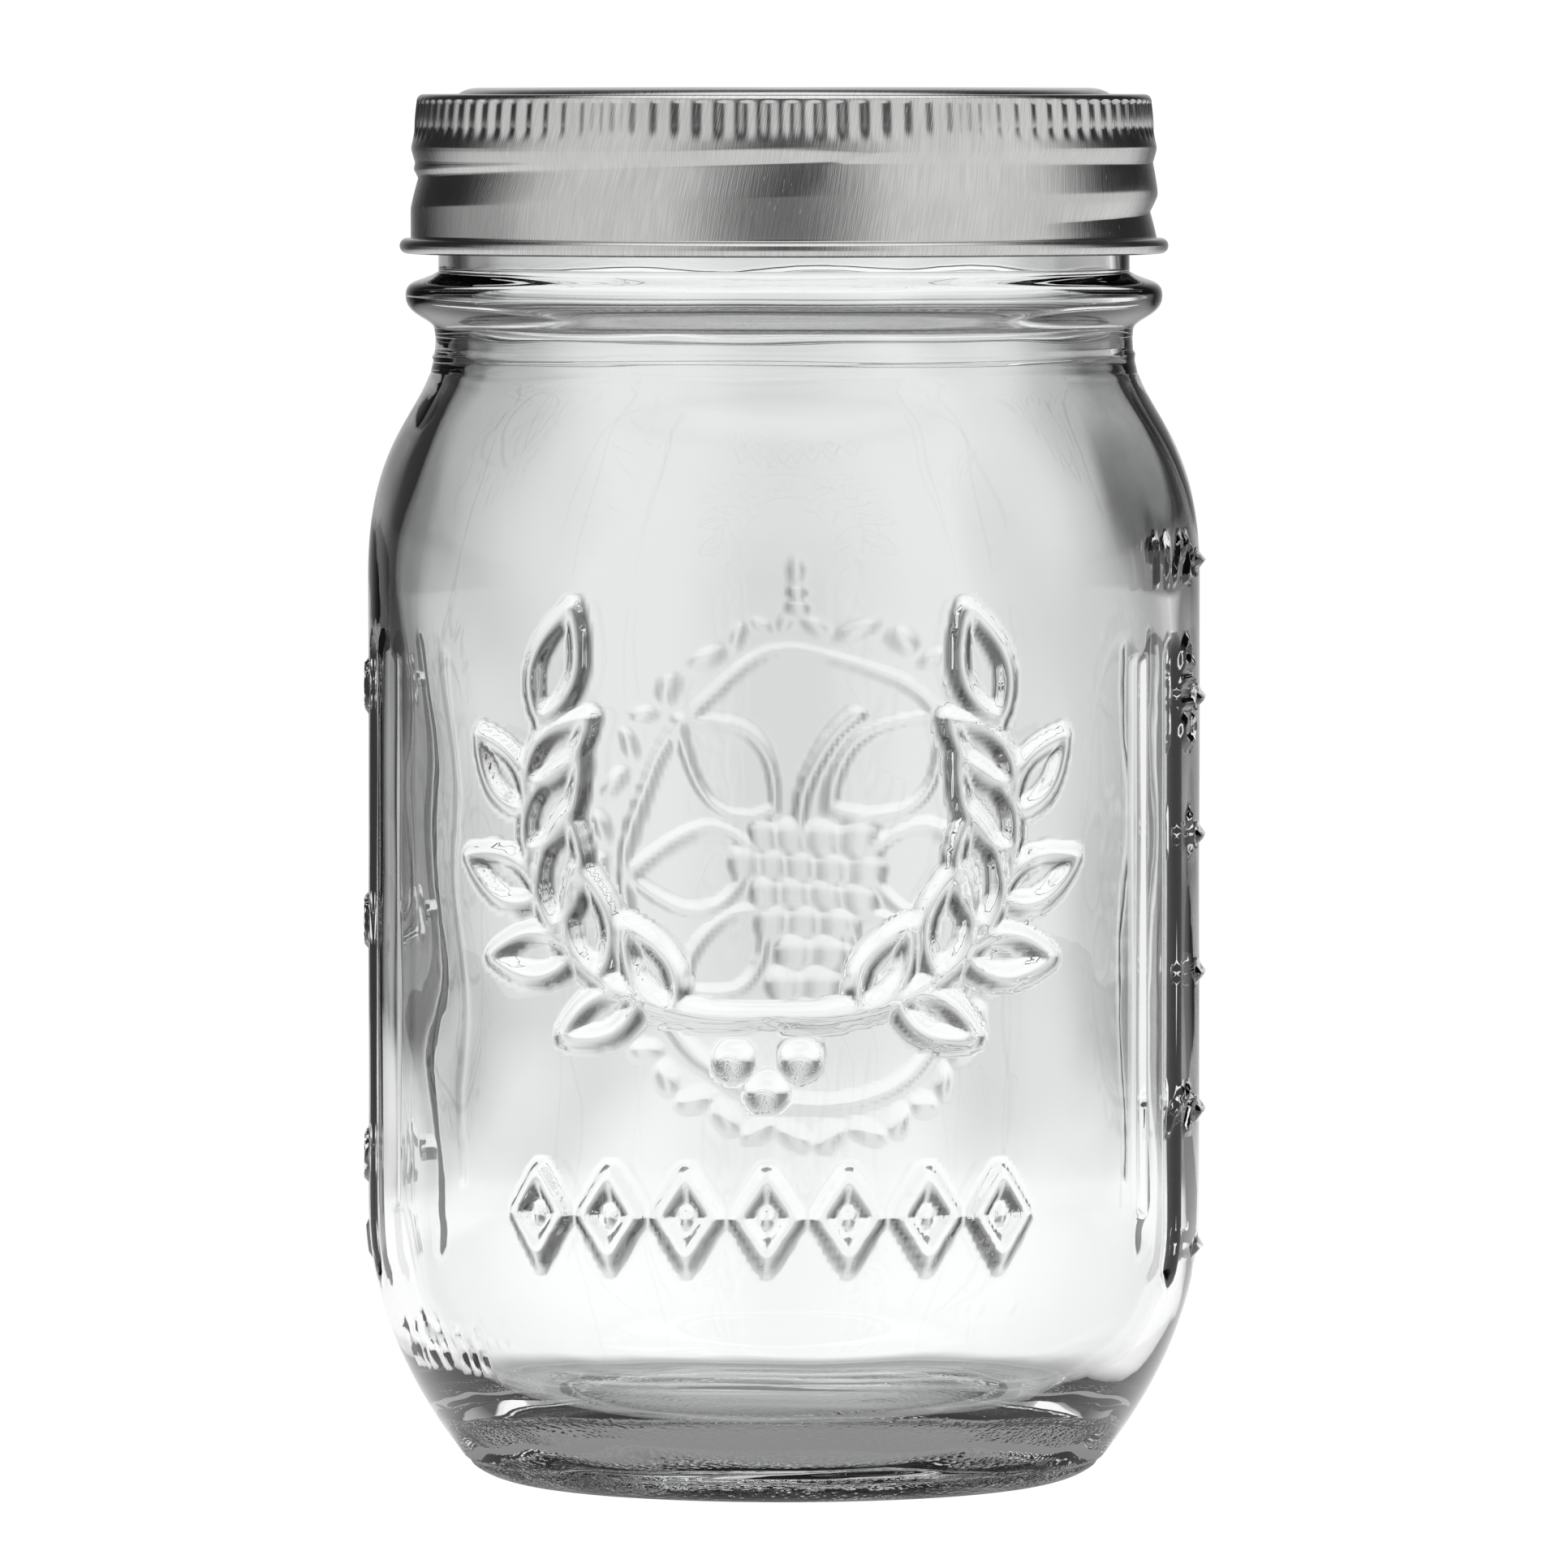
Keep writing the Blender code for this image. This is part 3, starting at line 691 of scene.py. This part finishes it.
class Nodes:
    """A short way to write node trees: each call makes a node and links its inputs."""

    def __init__(self, tree):
        self.tree = tree

    def add(self, kind, out=0, **inputs):
        node = self.tree.nodes.new(kind)
        for key, value in inputs.items():
            name = key.replace("_", " ")
            if hasattr(node, key) and name not in node.inputs:
                setattr(node, key, value)
                continue
            socket = node.inputs[int(key[2:])] if key.startswith("in") and key[2:].isdigit() \
                else node.inputs[name]
            self.put(socket, value)
        return node.outputs[out]

    def put(self, socket, value):
        if isinstance(value, bpy.types.NodeSocket):
            self.tree.links.new(value, socket)
        else:
            socket.default_value = value

    def maths(self, operation, first, second=0.0):
        return self.add("ShaderNodeMath", operation=operation, in0=first, in1=second)

    def remap(self, value, low, high, to_low, to_high):
        return self.add("ShaderNodeMapRange", interpolation_type="SMOOTHSTEP", in0=value,
                        in1=low, in2=high, in3=to_low, in4=to_high)


def new_material(name):
    """An empty node material, with its node helper and its output node."""
    made = bpy.data.materials.new(name)
    made.use_nodes = True
    made.node_tree.nodes.clear()
    nodes = Nodes(made.node_tree)
    output = made.node_tree.nodes.new("ShaderNodeOutputMaterial")
    return made, nodes, output


def glass_material():
    """Clear soda-lime glass: polished, scuffed only where it stands."""
    made, nodes, output = new_material("clear_glass")
    place = nodes.add("ShaderNodeTexCoord", out=3)
    height = nodes.add("ShaderNodeSeparateXYZ", out=2, in0=place)
    grain = nodes.add("ShaderNodeTexNoise", Vector=place, Scale=900.0, Detail=2.0)
    scuff = nodes.remap(height, 0.0, 0.5 * MM, 0.22, 0.0)
    rough = nodes.maths("MULTIPLY", scuff, grain)
    peel = nodes.add("ShaderNodeTexNoise", Vector=place, Scale=170.0, Detail=1.5)
    smear = nodes.add("ShaderNodeBump", Strength=0.35, Distance=0.00003, Height=peel)
    dots = nodes.add("ShaderNodeTexVoronoi", Vector=place, Scale=1500.0)
    low = nodes.remap(height, 2.3 * MM, 2.7 * MM, 1.0, 0.0)
    stipple = nodes.maths("MULTIPLY", dots, low)
    bump = nodes.add("ShaderNodeBump", Strength=0.6, Distance=0.00012, Height=stipple, Normal=smear)
    shader = nodes.add("ShaderNodeBsdfPrincipled", Roughness=rough, IOR=1.52, Normal=bump)
    shader.node.inputs["Base Color"].default_value = (0.985, 0.992, 0.99, 1.0)
    shader.node.inputs["Transmission Weight"].default_value = 1.0
    clear = nodes.add("ShaderNodeBsdfTransparent")
    clear.node.inputs["Color"].default_value = (0.93, 0.94, 0.94, 1.0)
    shadow = nodes.add("ShaderNodeLightPath", out=1)
    mixed = nodes.add("ShaderNodeMixShader", in0=shadow, in1=shader, in2=clear)
    nodes.put(output.inputs["Surface"], mixed)
    return made


def tinplate_material(name, wraps_round):
    """Tin-plated sheet with fine slanting scratches, round the band or across the lid."""
    made, nodes, output = new_material(name)
    place = nodes.add("ShaderNodeTexCoord", out=3)
    parts = nodes.add("ShaderNodeSeparateXYZ", in0=place).node
    if wraps_round:
        turn = nodes.maths("ARCTAN2", parts.outputs[1], parts.outputs[0])
        along = nodes.maths("MULTIPLY", turn, band_high.x)
        up = parts.outputs[2]
    else:
        along, up = parts.outputs[0], parts.outputs[1]
    cloud = nodes.add("ShaderNodeTexNoise", Vector=place, Scale=130.0, Detail=3.0)
    scratches = []
    for lean, fine, long, low, high, seed in ((-0.17, 8000.0, 260.0, 0.3, 0.7, 0.0),
                                              (-0.24, 6400.0, 420.0, 0.7, 0.8, 7.0),
                                              (0.1, 6800.0, 460.0, 0.73, 0.82, 19.0)):
        leaned = nodes.maths("ADD", along, nodes.maths("MULTIPLY", up, lean))
        streak = nodes.add("ShaderNodeCombineXYZ", in0=nodes.maths("MULTIPLY", leaned, fine),
                           in1=nodes.maths("MULTIPLY", up, long), in2=seed)
        marks = nodes.add("ShaderNodeTexNoise", Vector=streak, Scale=1.0, Detail=2.0)
        scratches.append(nodes.remap(marks, low, high, 0.0, 1.0))
    brushing, deep, crossing = scratches
    worn = nodes.maths("MAXIMUM", deep, nodes.maths("MULTIPLY", crossing, 0.7))
    rough = nodes.maths("ADD", nodes.remap(cloud, 0.3, 0.7, 0.15, 0.2),
                        nodes.maths("MULTIPLY", worn, 0.15))
    relief = nodes.maths("SUBTRACT", nodes.maths("MULTIPLY", brushing, 0.6), worn)
    bump = nodes.add("ShaderNodeBump", Strength=0.6, Distance=0.000014, Height=relief)
    tone = nodes.remap(cloud, 0.3, 0.7, 0.52, 0.57)
    streaked = nodes.maths("MULTIPLY", tone, nodes.remap(brushing, 0.0, 1.0, 0.93, 1.07))
    bright = nodes.maths("ADD", streaked, nodes.maths("MULTIPLY", worn, 0.1))
    colour = nodes.add("ShaderNodeCombineColor", in0=bright, in1=bright,
                       in2=nodes.maths("MULTIPLY", bright, 0.99))
    shader = nodes.add("ShaderNodeBsdfPrincipled", Roughness=rough, Normal=bump)
    nodes.put(shader.node.inputs["Base Color"], colour)
    shader.node.inputs["Metallic"].default_value = 1.0
    shader.node.inputs["Anisotropic"].default_value = 0.45
    if wraps_round:
        grain = nodes.add("ShaderNodeTangent", direction_type="RADIAL", axis="Z")
        nodes.put(shader.node.inputs["Tangent"], grain)
    nodes.put(output.inputs["Surface"], shader)
    return made


def compound_material():
    """Dull sealing compound with a faint mottle."""
    made, nodes, output = new_material("sealing_compound")
    place = nodes.add("ShaderNodeTexCoord", out=3)
    mottle = nodes.add("ShaderNodeTexNoise", Vector=place, Scale=420.0, Detail=4.0)
    tone = nodes.add("ShaderNodeValToRGB", Fac=mottle)
    tone.node.color_ramp.elements[0].color = (0.36, 0.34, 0.32, 1.0)
    tone.node.color_ramp.elements[1].color = (0.48, 0.46, 0.43, 1.0)
    bump = nodes.add("ShaderNodeBump", Strength=0.4, Distance=0.00004, Height=mottle)
    rough = nodes.remap(mottle, 0.2, 0.8, 0.5, 0.65)
    shader = nodes.add("ShaderNodeBsdfPrincipled", Roughness=rough, Normal=bump)
    nodes.put(shader.node.inputs["Base Color"], tone)
    nodes.put(output.inputs["Surface"], shader)
    return made


def floor_material():
    """A white table that glows as painted light: a painted shadow under the jar, bright round it, dim
    as the room farther off.
    """
    made, nodes, output = new_material("studio_floor")
    place = nodes.add("ShaderNodeTexCoord", out=3)
    away = nodes.add("ShaderNodeVectorMath", out=1, operation="LENGTH", in0=place)
    # The glow is painted light: emission in place of the room's lamps falling on the table.
    room = room_light(nodes, place, sine(-5))
    far = nodes.remap(away, TABLE_NEAR, TABLE_FAR, 0.0, 1.0)
    near = nodes.maths("MULTIPLY", nodes.maths("SUBTRACT", 1.0, far), PAINTED_TABLE_LIGHT)
    open_table = nodes.maths("ADD", near, nodes.maths("MULTIPLY", far, room))
    # Painted shadow under the jar: the glow drops between the two radii.
    shade = nodes.remap(away, SHADE_INNER, SHADE_OUTER, PAINTED_SHADOW_UNDER_JAR, 1.0)
    glow = nodes.add("ShaderNodeEmission", Strength=nodes.maths("MULTIPLY", open_table, shade))
    glow.node.inputs["Color"].default_value = (1.0, 1.0, 1.0, 1.0)
    plain = nodes.add("ShaderNodeEmission", Strength=PLAIN_WHITE)
    plain.node.inputs["Color"].default_value = (1.0, 1.0, 1.0, 1.0)
    seen = nodes.add("ShaderNodeLightPath", out=0)
    nodes.put(output.inputs["Surface"],
              nodes.add("ShaderNodeMixShader", in0=seen, in1=glow, in2=plain))
    return made


# ---------------------------------------------------------------- studio

TABLE_RADIUS = 0.9
# Painted light on the table: how brightly it glows near the jar, and where that fades to the room's
# brightness.
TABLE_NEAR, TABLE_FAR = 0.16, 0.8
PAINTED_TABLE_LIGHT = 1.02
# Painted shadow: the share of the glow left under the jar, dropping between SHADE_INNER and
# SHADE_OUTER.
PAINTED_SHADOW_UNDER_JAR = 0.25
SHADE_INNER, SHADE_OUTER = 0.031, 0.043
PLAIN_WHITE = 1.05
AMBIENT = 0.03
# Each panel of light, in degrees: azimuth of its middle from the camera side, half
# width and fade, lowest and highest elevation and fade; then how fast it fades
# sideways, and its brightness
LIGHT_PANELS = (
    (-58, 24, 34, -40, 46, 14, 1.2, 0.95),
    (60, 26, 30, -40, 46, 14, 1.0, 1.0),
    (100, 40, 16, -40, 1, 3, 1.0, 0.9),
    (-100, 16, 30, -40, 1, 3, 1.0, 0.5),
    (0, 40, 30, -40, 0, 6, 1.0, 0.27),
    (0, 40, 30, -40, 30, 10, 1.0, 0.1),
    (180, 2, 30, -40, 14, 45, 1.9, 0.79),
    (0, 180, 1, 62, 91, 12, 1.0, 1.5),
)


def sine(elevation):
    """Height of a direction at an elevation in degrees, straight up at most."""
    return math.sin(math.radians(min(elevation, 90)))


def room_light(nodes, toward, rise):
    """Brightness of the panels round the room, along a direction and its height's sine."""
    flat = nodes.add("ShaderNodeVectorMath", operation="MULTIPLY", in0=toward,
                     in1=(1.0, 1.0, 0.0))
    level = nodes.add("ShaderNodeVectorMath", operation="NORMALIZE", in0=flat)
    total = AMBIENT
    for azimuth, half, soft, low, high, fall, power, brightness in LIGHT_PANELS:
        turn = FRONT + VIEW_TURN + math.radians(azimuth)
        middle = (math.cos(turn), math.sin(turn), 0.0)
        facing = nodes.add("ShaderNodeVectorMath", out=1, operation="DOT_PRODUCT",
                           in0=level, in1=middle)
        aside = nodes.maths("ARCCOSINE", facing)
        share = nodes.add("ShaderNodeMapRange", in0=aside, in1=math.radians(half),
                          in2=math.radians(half + soft), in3=1.0, in4=0.0)
        across = nodes.maths("MULTIPLY", nodes.maths("POWER", share, power), brightness)
        above = nodes.remap(rise, sine(low - fall), sine(low), 0.0, 1.0)
        below = nodes.remap(rise, sine(high), sine(high + fall) + 0.001, 1.0, 0.0)
        lit = nodes.maths("MULTIPLY", across, nodes.maths("MULTIPLY", above, below))
        total = nodes.maths("MAXIMUM", total, lit)
    return total


def make_world():
    """Panels of soft light round the room, while the camera sees a plain white backdrop."""
    world = bpy.data.worlds.new("studio")
    bpy.context.scene.world = world
    world.use_nodes = True
    world.node_tree.nodes.clear()
    nodes = Nodes(world.node_tree)
    output = world.node_tree.nodes.new("ShaderNodeOutputWorld")
    toward = nodes.add("ShaderNodeTexCoord", out=0)
    rise = nodes.add("ShaderNodeSeparateXYZ", out=2, in0=toward)
    glow = nodes.add("ShaderNodeBackground", Strength=room_light(nodes, toward, rise))
    glow.node.inputs["Color"].default_value = (1.0, 1.0, 1.0, 1.0)
    plain = nodes.add("ShaderNodeBackground", Strength=PLAIN_WHITE)
    plain.node.inputs["Color"].default_value = (1.0, 1.0, 1.0, 1.0)
    seen = nodes.add("ShaderNodeLightPath", out=0)
    nodes.put(output.inputs["Surface"],
              nodes.add("ShaderNodeMixShader", in0=seen, in1=glow, in2=plain))


def make_floor(material):
    """The round table that the jar stands on."""
    bpy.ops.mesh.primitive_circle_add(vertices=96, radius=TABLE_RADIUS, fill_type="NGON")
    floor = bpy.context.object
    floor.name = "studio_floor"
    floor.location.z = glass_low.z
    floor.data.materials.append(material)


def aim_at_jar(holder):
    """Turns a lamp or a camera to face the middle of the jar."""
    aim = Vector((0, 0, VIEW_TARGET)) - holder.location
    holder.rotation_euler = aim.to_track_quat("-Z", "Y").to_euler()


def make_lights():
    """A wide soft lamp overhead, kept out of reflections and the glass: only dull pieces take it."""
    lamp = bpy.data.lights.new("over", "AREA")
    lamp.size = 1.2
    lamp.energy = 9.0
    holder = bpy.data.objects.new("over", lamp)
    holder.location = (0.1, 0.2, 1.3)
    aim_at_jar(holder)
    holder.visible_glossy = False
    holder.visible_transmission = False
    bpy.context.scene.collection.objects.link(holder)


def make_camera():
    """The photograph's viewing angle, through a long lens."""
    camera = bpy.data.cameras.new("camera")
    camera.lens = LENS
    camera.sensor_width = SENSOR
    camera.clip_end = 20.0
    holder = bpy.data.objects.new("camera", camera)
    holder.location = (VIEW_DISTANCE * math.sin(VIEW_TURN),
                       -VIEW_DISTANCE * math.cos(VIEW_TURN), VIEW_HEIGHT)
    aim_at_jar(holder)
    bpy.context.scene.collection.objects.link(holder)
    bpy.context.scene.camera = holder


bpy.context.scene.view_settings.view_transform = "Standard"
make_camera()
make_world()
make_lights()
make_floor(floor_material())
make_glass(glass_material())
make_band(tinplate_material("band_tinplate", wraps_round=True))
make_lid(tinplate_material("lid_tinplate", wraps_round=False))
make_seal(compound_material())
